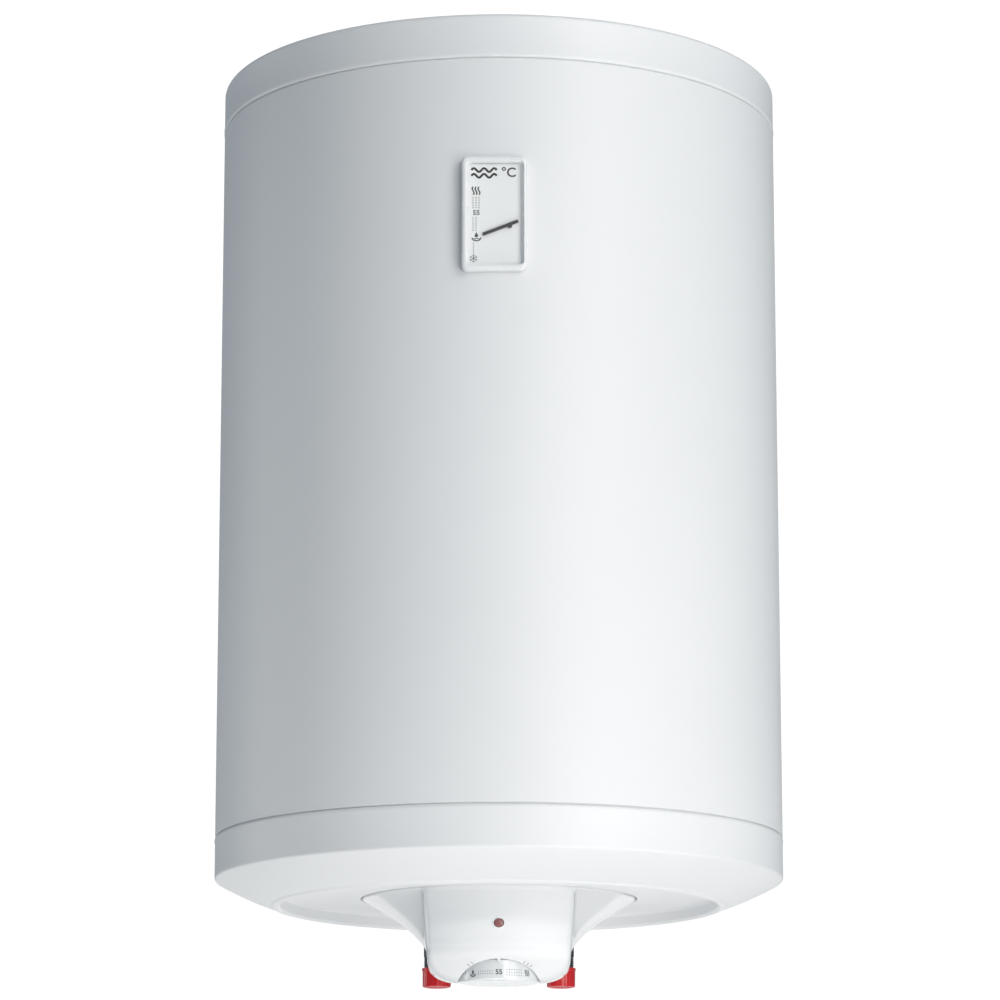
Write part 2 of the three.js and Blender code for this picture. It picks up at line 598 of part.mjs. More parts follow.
// ---- Water connections ----
const sides = { cold_inlet_pipe: PIPE_X, hot_outlet_pipe: -PIPE_X };
for (const [name, x] of Object.entries(sides)) {
  piece(name, ring([
    [PIPE_BORE, PIPE_END],
    [PIPE_R - 0.6, PIPE_END],
    [PIPE_R, PIPE_END + 1.5],
    [PIPE_R, PIPE_TOP],
    [PIPE_BORE, PIPE_TOP],
  ], FINE, x, PIPE_Y), 'darkSteel');
}
const plug = (x) => turned([
  [0, PLUG_END],
  [10.6, PLUG_END],
  [11.4, PLUG_END + 0.8],
  [11.4, PLUG_TOP - 2],
  [11.9, PLUG_TOP - 1.6],
  [11.9, PLUG_TOP],
  [10.85, PLUG_TOP],
  [10.85, PIPE_END - GAP],
  [0, PIPE_END - GAP],
], FINE, x, PIPE_Y);
piece('cold_cap', plug(PIPE_X), 'red');
piece('hot_cap', plug(-PIPE_X), 'red');
piece('outlet_tube', ring([
  [6, -20], [7.3, -20], [7.3, 560], [6, 560],
], SMALL, -PIPE_X, PIPE_Y), 'darkPlastic');
piece('inlet_diffuser', cut(
  turned([[0, 46], [20, 43], [20, 41], [11.8, 41], [11.8, 22], [10.9, 22], [10.9, 39.5], [0, 41]],
    FINE, PIPE_X, PIPE_Y),
  box(PIPE_X - 14, PIPE_X + 14, PIPE_Y - 2.5, PIPE_Y + 2.5, 35, 39.4),
), 'plasticWhite');

// ---- Wall bracket ----
const strip = roundedSlab(BRACKET_W, BRACKET_H, 6, BRACKET_Y - BRACKET_T, BRACKET_Y, 0, BRACKET_Z);
const slots = [-SLOT_X, SLOT_X].map((x) =>
  roundedSlab(SLOT_W, SLOT_H, 5.9, BRACKET_Y - 10, BRACKET_Y + 10, x, BRACKET_Z));
piece('wall_bracket', cut(strip, ...slots), 'steel');
const tankHull = egg(0.4);
for (const [name, x] of [['bracket_leg_left', -LEG_X], ['bracket_leg_right', LEG_X]]) {
  const leg = box(x - 1.5, x + 1.5, 160, BRACKET_Y - BRACKET_T - GAP, BRACKET_Z - 20, BRACKET_Z + 20);
  piece(name, cut(leg, tankHull), 'steel');
}

export default root;
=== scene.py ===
import json
import math

import bmesh
import bpy
import numpy as np
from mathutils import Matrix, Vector


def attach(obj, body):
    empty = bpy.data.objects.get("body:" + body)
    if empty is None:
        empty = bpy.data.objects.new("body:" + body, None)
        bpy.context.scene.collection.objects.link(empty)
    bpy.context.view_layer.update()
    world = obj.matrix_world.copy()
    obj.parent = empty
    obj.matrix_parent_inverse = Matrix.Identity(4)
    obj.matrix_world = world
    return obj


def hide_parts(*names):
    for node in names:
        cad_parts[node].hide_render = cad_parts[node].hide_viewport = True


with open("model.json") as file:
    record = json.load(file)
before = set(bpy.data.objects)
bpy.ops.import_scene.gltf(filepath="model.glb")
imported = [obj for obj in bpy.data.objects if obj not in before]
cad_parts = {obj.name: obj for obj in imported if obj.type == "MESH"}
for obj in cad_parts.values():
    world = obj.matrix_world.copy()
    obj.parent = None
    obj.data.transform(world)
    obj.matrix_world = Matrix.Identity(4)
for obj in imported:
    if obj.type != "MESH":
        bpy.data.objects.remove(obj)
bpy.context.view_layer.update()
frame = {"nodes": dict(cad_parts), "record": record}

# Lengths below are millimetres from the heater's own axis and the seam above its bottom cap.
# The row frame's origin is on the wall bracket's back face.
AXIS_Y, SEAM_Z = -234.0, -493.0
SHELL_R = 227.0
KNOB_Y, KNOB_R = -68.0, 31.2
PIPE_X, PIPE_Y = 50.0, 38.0
LAMP_Z, LAMP_SQUASH = -77.5, 0.87
FINE_TURN = 256

scene = bpy.context.scene
scene.view_settings.view_transform = 'Standard'


def place(v):
    """Millimetres about the heater's axis to metres in the row frame."""
    v = np.asarray(v, float)
    return (v + np.array([0.0, AXIS_Y, SEAM_Z])) / 1000.0


def make(name, verts, faces, mat, body, replaces=(), sharp=40.0):
    """A piece that rides on a body and may stand for CAD nodes; sharp is in degrees."""
    mesh = bpy.data.meshes.new(name)
    mesh.from_pydata([tuple(v) for v in place(verts).tolist()], [], [tuple(f) for f in faces])
    mesh.validate()
    mesh.shade_smooth()
    if sharp:
        mesh.set_sharp_from_angle(angle=math.radians(sharp))
    obj = bpy.data.objects.new(name, mesh)
    scene.collection.objects.link(obj)
    obj.data.materials.append(mat)
    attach(obj, body)
    if replaces:
        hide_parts(*replaces)
    return obj


# ---------------------------------------------------------------- materials

def material(name, colour, rough, metal=0.0, coat=0.0, grain=0.0, grain_size=1.0, tint=0.02,
             rough_var=0.05, alpha=1.0, transmission=0.0, spec=0.5, blotch=6.0, ior=1.5):
    """Principled surface whose colour and roughness drift a little and whose skin has a fine grain."""
    mat = bpy.data.materials.new(name)
    mat.use_nodes = True
    tree = mat.node_tree
    nodes, links = tree.nodes, tree.links
    shader = nodes['Principled BSDF']
    shader.inputs['Metallic'].default_value = metal
    shader.inputs['Coat Weight'].default_value = coat
    shader.inputs['Coat Roughness'].default_value = 0.08
    shader.inputs['Transmission Weight'].default_value = transmission
    shader.inputs['Alpha'].default_value = alpha
    shader.inputs['Specular IOR Level'].default_value = spec
    shader.inputs['IOR'].default_value = ior
    where = nodes.new('ShaderNodeTexCoord')
    drift = nodes.new('ShaderNodeTexNoise')
    drift.inputs['Scale'].default_value = blotch
    drift.inputs['Detail'].default_value = 4.0
    links.new(where.outputs['Object'], drift.inputs['Vector'])
    ramp = nodes.new('ShaderNodeMix')
    ramp.data_type = 'RGBA'
    low = [c * (1.0 - tint) for c in colour]
    high = [min(1.0, c * (1.0 + tint)) for c in colour]
    ramp.inputs[6].default_value = (*low, 1.0)
    ramp.inputs[7].default_value = (*high, 1.0)
    links.new(drift.outputs['Fac'], ramp.inputs[0])
    links.new(ramp.outputs[2], shader.inputs['Base Color'])
    span = nodes.new('ShaderNodeMapRange')
    span.inputs['To Min'].default_value = max(0.02, rough - rough_var)
    span.inputs['To Max'].default_value = min(1.0, rough + rough_var)
    links.new(drift.outputs['Fac'], span.inputs['Value'])
    links.new(span.outputs['Result'], shader.inputs['Roughness'])
    if grain:
        fine = nodes.new('ShaderNodeTexNoise')
        fine.inputs['Scale'].default_value = 1000.0 / grain_size
        fine.inputs['Detail'].default_value = 3.0
        links.new(where.outputs['Object'], fine.inputs['Vector'])
        bump = nodes.new('ShaderNodeBump')
        bump.inputs['Strength'].default_value = 1.0
        bump.inputs['Distance'].default_value = grain / 1000.0
        links.new(fine.outputs['Fac'], bump.inputs['Height'])
        links.new(bump.outputs['Normal'], shader.inputs['Normal'])
    return mat


SHELL_PAINT = material('shell_paint', (0.80, 0.81, 0.82), 0.46, grain=0.012, grain_size=2.2)
CAP_WHITE = material('cap_white', (0.81, 0.82, 0.83), 0.42, grain=0.008, grain_size=1.6)
COVER_WHITE = material('cover_white', (0.82, 0.83, 0.84), 0.24, coat=0.9, grain=0.003, grain_size=1.2)
# Lighter than the cover's white: a painted highlight on the lamp's ring and the knob's index notch, which
# are the cover's own plastic.
PAINTED_HIGHLIGHT_WHITE = material('rim_white_painted_highlight', (0.93, 0.94, 0.95), 0.5, grain=0.003, grain_size=1.0)
FRAME_WHITE = material('frame_white', (0.83, 0.84, 0.85), 0.28, coat=0.3, grain=0.004, grain_size=1.0)
DIAL_WHITE = material('dial_white', (0.86, 0.87, 0.87), 0.5, grain=0.002, grain_size=0.6)
KNOB_CLEAR = material('knob_clear', (0.80, 0.82, 0.83), 0.12, coat=0.8, grain=0.002, grain_size=2.0)
LENS_CLEAR = material('lens_clear', (0.97, 0.98, 0.98), 0.03, alpha=0.03, grain=0.001, grain_size=4.0)
INK = material('ink', (0.045, 0.05, 0.055), 0.5, grain=0.002, grain_size=0.5)
POINTER_BLACK = material('pointer_black', (0.009, 0.010, 0.011), 0.45, grain=0.004, grain_size=0.6)
RED = material('red_plastic', (0.55, 0.010, 0.012), 0.32, coat=0.3, grain=0.006, grain_size=1.2,
               tint=0.08)
LAMP = material('lamp_red', (0.36, 0.13, 0.13), 0.16, coat=0.8, transmission=0.2, grain=0.003,
                grain_size=0.8)
DARK = material('dark_plastic', (0.022, 0.024, 0.026), 0.5, grain=0.01, grain_size=0.9)
STEEL = material('zinc_steel', (0.56, 0.58, 0.60), 0.34, metal=1.0, grain=0.006, grain_size=3.0,
                 tint=0.1, rough_var=0.12, blotch=60.0)
DARK_STEEL = material('dark_steel', (0.07, 0.075, 0.08), 0.42, metal=0.7, grain=0.02, grain_size=1.6,
                      tint=0.25, blotch=90.0)
ENAMEL = material('enamel', (0.02, 0.045, 0.085), 0.18, coat=0.6, grain=0.02, grain_size=4.0, tint=0.2)
FOAM = material('foam', (0.72, 0.62, 0.33), 0.95, grain=0.4, grain_size=3.0, tint=0.12, blotch=20.0)
RUBBER = material('rubber', (0.02, 0.018, 0.016), 0.8, grain=0.02, grain_size=1.0)
COPPER = material('copper', (0.78, 0.36, 0.22), 0.3, metal=1.0, grain=0.01, grain_size=3.0,
                  tint=0.15, blotch=50.0)
BRASS = material('brass', (0.74, 0.56, 0.24), 0.32, metal=1.0, grain=0.006, grain_size=2.0,
                 tint=0.1, blotch=70.0)
MAGNESIUM = material('magnesium', (0.52, 0.53, 0.52), 0.6, metal=1.0, grain=0.06, grain_size=2.5,
                     tint=0.15)
WIRES = {
    'wire_live': material('brown_wire', (0.15, 0.05, 0.02), 0.45, grain=0.004, grain_size=0.8),
    'wire_neutral': material('blue_wire', (0.03, 0.11, 0.36), 0.45, grain=0.004, grain_size=0.8),
    'wire_earth': material('earth_wire', (0.33, 0.40, 0.03), 0.45, grain=0.004, grain_size=0.8),
}


# ---------------------------------------------------------------- shape tools

def rounded(points, closed=False, steps=5):
    """A profile of (r, z) or (r, z, fillet) corners with its fillets drawn as arcs."""
    out = []
    count = len(points)
    for i, corner in enumerate(points):
        here = np.array(corner[:2], float)
        fillet = corner[2] if len(corner) > 2 else 0.0
        if not fillet or (not closed and i in (0, count - 1)):
            out.append(here)
            continue
        before = np.array(points[i - 1][:2], float) - here
        after = np.array(points[(i + 1) % count][:2], float) - here
        lb, la = np.linalg.norm(before), np.linalg.norm(after)
        before, after = before / lb, after / la
        half = math.acos(np.clip(np.dot(before, after), -1, 1)) / 2
        reach = min(fillet / math.tan(half), 0.49 * lb, 0.49 * la)
        radius = reach * math.tan(half)
        middle = before + after
        centre = here + middle / np.linalg.norm(middle) * radius / math.sin(half)
        start, end = here + before * reach - centre, here + after * reach - centre
        a0, a1 = math.atan2(start[1], start[0]), math.atan2(end[1], end[0])
        turn = (a1 - a0 + math.pi) % (2 * math.pi) - math.pi
        for k in range(steps + 1):
            a = a0 + turn * k / steps
            out.append(centre + radius * np.array([math.cos(a), math.sin(a)]))
    return out


def lathe(profile, steps=160, at=(0.0, 0.0), closed=False, warp=None):
    """Verts and faces of a profile turned about the upright line through at."""
    verts, rows = [], []
    for r, z in profile:
        if r < 1e-6:
            rows.append([len(verts)])
            verts.append((at[0], at[1], z))
            continue
        rows.append(list(range(len(verts), len(verts) + steps)))
        for k in range(steps):
            a = 2 * math.pi * k / steps
            rr = r + (warp(r, z, a) if warp else 0.0)
            verts.append((at[0] + rr * math.cos(a), at[1] + rr * math.sin(a), z))
    faces = []
    pairs = list(zip(rows, rows[1:])) + ([(rows[-1], rows[0])] if closed else [])
    for low, high in pairs:
        for k in range(steps):
            n = (k + 1) % steps
            if len(low) == 1 and len(high) == 1:
                break
            if len(low) == 1:
                faces.append((low[0], high[n], high[k]))
            elif len(high) == 1:
                faces.append((low[k], low[n], high[0]))
            else:
                faces.append((low[k], low[n], high[n], high[k]))
    area = sum(p[0] * q[1] - q[0] * p[1]
               for p, q in zip(profile, list(profile[1:]) + [profile[0]]))
    if area < 0:
        faces = [f[::-1] for f in faces]
    return np.array(verts), faces


def lathe_forward(profile, steps, x, y, z, squash=1.0, closed=False):
    """A lathe about a line along y through x, z, whose profile height runs towards the wall."""
    verts, faces = lathe(profile, steps, closed=closed)
    verts = np.stack([x + verts[:, 0], y + verts[:, 2], z + verts[:, 1] * squash], 1)
    return verts, [f[::-1] for f in faces]


def smax(a, b, k):
    """The greater of two fields, with the edge where they meet rounded over k."""
    h = np.maximum(k - np.abs(a - b), 0.0) / k
    return np.maximum(a, b) + h * h * k / 4


def smin(a, b, k):
    """The lesser of two fields, rounded in the same way."""
    return -smax(-a, -b, k)


def skin(field, low, high, step):
    """The surface where field is zero, as quads: one vertex per cell it crosses, moved onto the surface."""
    axes = [np.arange(low[i] - step, high[i] + 2 * step, step) for i in range(3)]
    grid = np.meshgrid(*axes, indexing='ij')
    value = field(*grid)
    inside = value < 0
    cells = tuple(n - 1 for n in inside.shape)
    corners = [(i, j, k) for i in (0, 1) for j in (0, 1) for k in (0, 1)]
    total = sum(inside[i:i + cells[0], j:j + cells[1], k:k + cells[2]].astype(np.int8)
                for i, j, k in corners)
    active = (total > 0) & (total < 8)
    number = np.full(cells, -1, np.int64)
    index = np.argwhere(active)
    number[active] = np.arange(len(index))
    corner_value = {c: value[index[:, 0] + c[0], index[:, 1] + c[1], index[:, 2] + c[2]]
                    for c in corners}
    sums, hits = np.zeros((len(index), 3)), np.zeros(len(index))
    for a in corners:
        for axis in range(3):
            if a[axis]:
                continue
            b = tuple(1 if n == axis else a[n] for n in range(3))
            va, vb = corner_value[a], corner_value[b]
            crosses = (va < 0) != (vb < 0)
            t = np.where(crosses, va / np.where(crosses, va - vb, 1.0), 0.0)
            point = np.tile(np.array(a, float), (len(index), 1))
            point[:, axis] += t
            sums += np.where(crosses[:, None], point, 0.0)
            hits += crosses
    origin = np.array([ax[0] for ax in axes])
    verts = origin + (index + sums / hits[:, None]) * step
    e = step * 0.05
    for _ in range(3):
        x, y, z = verts.T
        f = field(x, y, z)
        grad = np.stack([field(x + e, y, z) - field(x - e, y, z),
                         field(x, y + e, z) - field(x, y - e, z),
                         field(x, y, z + e) - field(x, y, z - e)], 1) / (2 * e)
        size = np.maximum((grad ** 2).sum(1), 0.04)
        verts = verts - grad * np.clip(f / size, -0.4 * step, 0.4 * step)[:, None]
    faces = []
    for axis in range(3):
        b, c = [n for n in range(3) if n != axis]
        one = [slice(None)] * 3
        two = [slice(None)] * 3
        one[axis], two[axis] = slice(0, -1), slice(1, None)
        for n in (b, c):
            one[n] = two[n] = slice(1, -1)
        first, second = inside[tuple(one)], inside[tuple(two)]
        spots = np.argwhere(first != second)
        spots[:, b] += 1
        spots[:, c] += 1
        flips = first[first != second]
        quad = []
        for db, dc in ((-1, -1), (0, -1), (0, 0), (-1, 0)):
            cell = spots.copy()
            cell[:, b] += db
            cell[:, c] += dc
            quad.append(number[cell[:, 0], cell[:, 1], cell[:, 2]])
        quad = np.stack(quad, 1)
        forward = flips if axis != 1 else ~flips
        quad[~forward] = quad[~forward][:, ::-1]
        faces.append(quad)
    return verts, np.concatenate(faces).tolist()


# ---------------------------------------------------------------- casing

# The shell's edges are turned in at both seams, and the caps have a small bead beside them.
shell = [(226.0, 0.35), (226.5, 0.45), (226.85, 0.9), (227.0, 1.7), (227.0, 581.3), (226.85, 582.1),
         (226.5, 582.55), (226.0, 582.65)]
verts, faces = lathe(shell, FINE_TURN, closed=True)
make('shell_skin', verts, faces, SHELL_PAINT, 'heater', ['outer_shell'])

top = rounded([(0, 624), (110, 622.7), (227.0, 618.9, 4.0), (227.0, 587.6), (227.4, 586.4),
               (227.4, 585.0), (227.0, 583.9), (226.3, 583.4), (225.6, 583.3), (225.6, 577.2),
               (223.4, 577.2), (223.4, 616.4, 2.0), (110, 620.3), (0, 621.6)], steps=10)
verts, faces = lathe(top, FINE_TURN)
make('top_cap_skin', verts, faces, CAP_WHITE, 'heater', ['top_cap'])


def underside(radius):
    """Height of the bottom cap's slanting ring, which curves slightly inwards."""
    t = (SHELL_R - radius) / 44.0
    return -33.0 - 19.5 * (1.25 * t - 0.25 * t * t)


slope = [(r, underside(r)) for r in np.linspace(221.0, 184.5, 11)]
# From the seam down the side, over the slanting ring and the ridge, across the recess to the collar
# round the cover's ledge, and back along the inside.
seam_lip = [(225.6, -0.3), (226.3, -0.4), (227.0, -0.9), (227.4, -2.0), (227.4, -3.4), (227.0, -4.6)]
ridge = [(182.5, underside(183), 1.5), (180.5, -54.0, 1.2), (177.0, -54.9, 1.2), (174.6, -53.0, 0.8),
         (173.2, -46.0, 1.2)]
recess = [(171.0, -43.5, 1.5), (132.0, -43.5, 14), (113.0, -47.5, 1.6), (110.4, -47.7, 0.8),
          (110.2, -44.4, 0.2), (96.0, -44.4, 0.5)]
inside = [(96.0, -42.2, 0.5), (171.0, -41.3, 1), (175.0, -44.0, 1), (178.0, -51.0, 2), (183.0, -50.0, 1),
          (205.0, underside(205) + 2.2), (223.4, -31.0, 3), (223.4, 5.8), (225.6, 5.8)]
under = rounded([*seam_lip, (227.0, -33.0, 2.4), *slope, *ridge, *recess, *inside], closed=True)
verts, faces = lathe(under, FINE_TURN, closed=True)
make('bottom_cap_skin', verts, faces, CAP_WHITE, 'heater', ['bottom_cap'])


# ---------------------------------------------------------------- control cover

COVER_TOP, FLARE_TOP, FLARE_BOTTOM, TONGUE_BOTTOM = -44.7, -48.5, -97.0, -121.0
RIM_R, FLARE_R, COVER_WALL = 109.0, 54.0, 2.5
TONGUE_HALF, CORNER_W, CORNER_H = 59.0, 25.0, 16.5
FACET_TOP, FACET_SLOPE = -100.5, 0.7
REAR_Y, REAR_SLOPE = -62.0, 0.395
POCKET_R, POCKET_TOP, BEVEL, BEVEL_WIDTH = 32.2, -103.5, 1.5, 6.8
SHAFT_HOLE_R, PIPE_HOLE_R, LAMP_HOLE_R = 4.2, 14.0, 3.95
SCREW_RING = 101
SCREWS = [(SCREW_RING * math.cos(math.radians(d)), SCREW_RING * math.sin(math.radians(d)))
          for d in (50, 130)]


def upright(x, y, cx, cy, r):
    """An upright rod without ends."""
    return np.hypot(x - cx, y - cy) - r


def flare_field(x, y, z):
    """The round part, whose wall sweeps out in a concave curve from the pipes up to the rim."""
    r = np.hypot(x, y)
    reach = FLARE_TOP - FLARE_BOTTOM
    t = np.clip((z - FLARE_BOTTOM) / reach, 0.0, 1.3)
    wide = FLARE_R + 55.0 * (0.25 * t + 0.75 * t * t)
    lean = 55.0 * (0.25 + 1.5 * t) / reach
    flare = smax((r - wide) / np.sqrt(1 + lean ** 2), FLARE_BOTTOM - z, 3.0)
    return smax(flare, r - RIM_R, 1.2)


def tongue_field(x, y, z):
    """The upright tongue: arched front, a facet below it, rounded corners and a rising rear."""
    bulge = 0.8 * np.sin(np.clip((COVER_TOP - z) / 52.0, 0, 1) * math.pi) ** 2
    e = y - RIM_R + np.sqrt(np.maximum(RIM_R ** 2 - x * x, 1.0)) + bulge
    flat = -RIM_R - e
    facet = (FACET_TOP - z - (e + RIM_R) * FACET_SLOPE) / math.hypot(1, FACET_SLOPE)
    front = smax(flat, facet, 7.0)
    half = TONGUE_HALF - 3.3 * (np.clip((-46.0 - z) / 60.0, 0, 1.4)) ** 1.5
    qx, qz = np.abs(x) - (half - CORNER_W), -z - (-TONGUE_BOTTOM - CORNER_H)
    ex, ez = np.maximum(qx, 0) / CORNER_W, np.maximum(qz, 0) / CORNER_H
    reach = np.hypot(ex, ez) + 1e-9
    corner = (reach - 1) * reach / (np.hypot(ex / CORNER_W, ez / CORNER_H) + 1e-9)
    sides = np.where((qx > 0) | (qz > 0), corner, np.maximum(qx - CORNER_W, qz - CORNER_H))
    tongue = smax(front, sides, 5.0)
    tongue = smax(tongue, y - 12.0, 2.0)
    rise = (TONGUE_BOTTOM - z + (y - REAR_Y) * REAR_SLOPE) / math.hypot(1, REAR_SLOPE)
    return smax(tongue, rise, 3.0)


def cover_outer(x, y, z, lid):
    """The cover as a full body, cut off at its top when lid is true."""
    body = smin(flare_field(x, y, z), tongue_field(x, y, z), 3.5)
    return smax(body, z - COVER_TOP, 0.8) if lid else body


def cover(x, y, z):
    """The cover's wall with its knob pocket, lamp hole, pipe holes and screw pads."""
    outer = cover_outer(x, y, z, True)
    inner = cover_outer(x, y, z, False) + COVER_WALL
    wall = smax(outer, -inner, 0.8)
    pocket = upright(x, y, 0, KNOB_Y, POCKET_R)
    wall = np.minimum(wall, np.maximum(np.maximum(pocket - 3.3, z + 101.0), outer + 0.05))
    for sx, sy in SCREWS:
        wall = np.minimum(wall, np.maximum(upright(x, y, sx, sy, 7.0), outer + 0.05))
    ahead = np.clip((KNOB_Y - y) / POCKET_R, 0, 1)
    bevel = BEVEL * np.clip(1.0 - pocket / BEVEL_WIDTH, 0, 1) * ahead ** 2
    wall = smax(wall, outer + bevel - 0.02, 0.5)
    wall = smax(wall, -smax(pocket, z - POCKET_TOP, 1.0), 0.8)
    wall = smax(wall, -smax(upright(x, y, 0, KNOB_Y, SHAFT_HOLE_R), -z - 110.0, 1.0), 0.8)
    lamp = np.hypot(x, (z - LAMP_Z) / LAMP_SQUASH) - LAMP_HOLE_R
    wall = smax(wall, -np.maximum(lamp, y + 100.0), 0.5)
    for px in (-PIPE_X, PIPE_X):
        wall = smax(wall, -upright(x, y, px, PIPE_Y, PIPE_HOLE_R), 1.6)
    for sx, sy in SCREWS:
        wall = smax(wall, -np.maximum(upright(x, y, sx, sy, 4.8), z + 47.7), 0.9)
        wall = smax(wall, -upright(x, y, sx, sy, 2.2), 0.8)
    return wall


verts, faces = skin(cover, (-110, -111, -122), (110, 110, -44), 1.0)
cover_skin = make('control_cover_skin', verts, faces, COVER_WHITE, 'heater', ['control_cover'],
                  sharp=None)


# ---------------------------------------------------------------- knob

knob = rounded([(0, -119.4), (20, -119.7), (26.5, -120.5, 2), (KNOB_R, -120.5, 1.6),
                (KNOB_R, -104.8, 0.6), (29.2, -104.8, 0.4), (29.2, -118.0, 0.8), (7, -118.0, 0.6),
                (7, -104.8, 0.4), (3.4, -104.8, 0.3), (3.4, -117.3), (0, -117.3)], steps=6)
verts, faces = lathe(knob, 160, at=(0, KNOB_Y))
make('knob_skin', verts, faces, KNOB_CLEAR, 'knob', ['knob'])
ring = rounded([(28.8, -117.7, 0.3), (28.8, -104.4, 0.3), (27.2, -104.4, 0.3), (27.2, -117.7, 0.3)],
               closed=True)
verts, faces = lathe(ring, 128, at=(0, KNOB_Y), closed=True)
make('scale_ring_skin', verts, faces, DIAL_WHITE, 'knob', ['knob_scale_ring'])


# ---------------------------------------------------------------- printed marks

class Print:
    """Flat marks drawn in u, v and carried onto a surface by a mapping."""

    def __init__(self):
        self.verts, self.faces = [], []

    def poly(self, points):
        base = len(self.verts)
        self.verts += [tuple(p) for p in points]
        self.faces.append(tuple(range(base, base + len(points))))

    def dot(self, u, v, r, n=14):
        angles = [2 * math.pi * k / n for k in range(n)]
        self.poly([(u + r * math.cos(a), v + r * math.sin(a)) for a in angles])

    def stroke(self, points, width):
        """A line of even width, its bends filled with dots."""
        points = [np.array(p, float) for p in points]
        for p, q in zip(points, points[1:]):
            along = (q - p) / max(np.linalg.norm(q - p), 1e-6)
            side = np.array([-along[1], along[0]]) * width / 2
            self.poly([p - side, q - side, q + side, p + side])
        for p in points[1:-1]:
            self.dot(p[0], p[1], width / 2, 8)

    def text(self, words, u, v, size):
        """Flat letters in Blender's own font, centred on u, v."""
        curve = bpy.data.curves.new('mark', 'FONT')
        curve.body, curve.size = words, size
        curve.align_x, curve.align_y = 'CENTER', 'CENTER'
        curve.offset = 0.02 * size
        obj = bpy.data.objects.new('mark', curve)
        mesh = obj.to_mesh()
        base = len(self.verts)
        self.verts += [(u + w.co.x, v + w.co.y) for w in mesh.vertices]
        self.faces += [tuple(base + i for i in f.vertices) for f in mesh.polygons]
        obj.to_mesh_clear()
        bpy.data.objects.remove(obj)

    def steam(self, u, v, s):
        """Three wavy strokes: the hot setting."""
        for shift in (-1, 0, 1):
            self.stroke([(u + (shift * 0.95 + 0.3 * math.sin(t * 2 * math.pi)) * s,
                          v + (t * 2 - 1) * 1.35 * s) for t in np.linspace(0, 1, 13)], 0.42 * s)

    def basin(self, u, v, s):
        """A drop over water: the warm setting."""
        rim = [(u + 1.45 * s * math.cos(a), v - 0.25 * s + 1.15 * s * math.sin(a))
               for a in np.linspace(math.pi, 2 * math.pi, 12)]
        self.stroke(rim, 0.4 * s)
        drop = [(u + 0.62 * s * math.cos(a), v + 0.42 * s + 0.6 * s * math.sin(a))
                for a in np.linspace(math.pi, 2 * math.pi, 9)]
        self.poly(drop + [(u, v + 1.75 * s)])
        water = [(u - 1.0 * s, v - 0.5 * s), (u - 0.35 * s, v - 0.75 * s),
                 (u + 0.35 * s, v - 0.5 * s), (u + 1.0 * s, v - 0.75 * s)]
        self.stroke(water, 0.3 * s)

    def frost(self, u, v, r):
        """A six-armed star: the frost setting."""
        for k in range(3):
            a = math.pi * k / 3 + math.pi / 6
            d = np.array([math.cos(a), math.sin(a)])
            n = np.array([-d[1], d[0]])
            c = np.array([u, v])
            self.stroke([c - d * r, c + d * r], 0.16 * r)
            for end in (-1, 1):
                tip = c + d * r * end
                self.stroke([tip + n * 0.3 * r, c + d * r * 0.62 * end, tip - n * 0.3 * r], 0.13 * r)

    def build(self, name, mapping, mat, body):
        verts = np.array([mapping(u, v) for u, v in self.verts])
        make(name, verts, self.faces, mat, body, (), sharp=None)


PRINT_GAP = 0.06
SCALE_Z = -114.6
side = Print()
deg = math.radians


def mark(angle, v):
    """A place on the knob's side from its angle off the front."""
    return deg(angle) * KNOB_R, v


for k in range(7):
    for row in (-0.95, 0.95):
        side.dot(*mark(-30.5 + 3.5 * k, row), 0.36)
    for row in (-2.1, 0.0, 2.1):
        side.dot(*mark(11.5 + 3.75 * k, row), 0.36)
    side.dot(*mark(-86.0 + 5.0 * k, 0.0), 0.36)
side.text('55', 0, 0, 5.4)
side.basin(*mark(-40.0, -0.3), 1.75)
side.steam(*mark(44.5, 0.0), 1.75)
side.frost(*mark(-95.0, 0.0), 2.3)
side.build('knob_marks', lambda u, v: ((KNOB_R + PRINT_GAP) * math.sin(u / KNOB_R),
                                       KNOB_Y - (KNOB_R + PRINT_GAP) * math.cos(u / KNOB_R),
                                       SCALE_Z + v), INK, 'knob')

ticks = Print()
for angle in (-42.0, -36.0, 34.0, 39.5, 45.0):
    ticks.stroke([(angle, 33.9), (angle, 36.4)], 0.8)


def on_bevel(angle, radius):
    """The lowest point of the cover at an angle and radius about the knob."""
    count = 561
    px, py = radius * math.sin(deg(angle)), KNOB_Y - radius * math.cos(deg(angle))
    heights = np.linspace(-122.0, -94.0, count)
    solid = cover(np.full(count, px), np.full(count, py), heights) < 0
    return px, py, heights[np.argmax(solid)] - 2 * PRINT_GAP


ticks.build('bevel_ticks', on_bevel, INK, 'heater')

# The index notch takes the lighter white, a painted highlight where its front faces the light.
INDEX_Z = -104.6
notch = [(-2.4, 1.5), (2.4, 1.5), (0.2, -2.0), (-0.2, -2.0)]
wedge = [(u, y, INDEX_Z + v) for y in (-100.9, -99.8) for u, v in notch]
sides = [(0, 1, 2, 3), (7, 6, 5, 4), (0, 4, 5, 1), (1, 5, 6, 2), (2, 6, 7, 3), (3, 7, 4, 0)]
make('index_mark', wedge, sides, PAINTED_HIGHLIGHT_WHITE, 'heater', (), sharp=20)


# ---------------------------------------------------------------- lamp

lens = rounded([(0, 0), (2.5, 0.15), (3.65, 0.7, 0.5), (3.65, 6.6), (0, 6.6)], steps=6)
verts, faces = lathe_forward(lens, 64, 0, -110.6, LAMP_Z, LAMP_SQUASH)
make('lamp_skin', verts, faces, LAMP, 'heater', ['lamp_lens'])
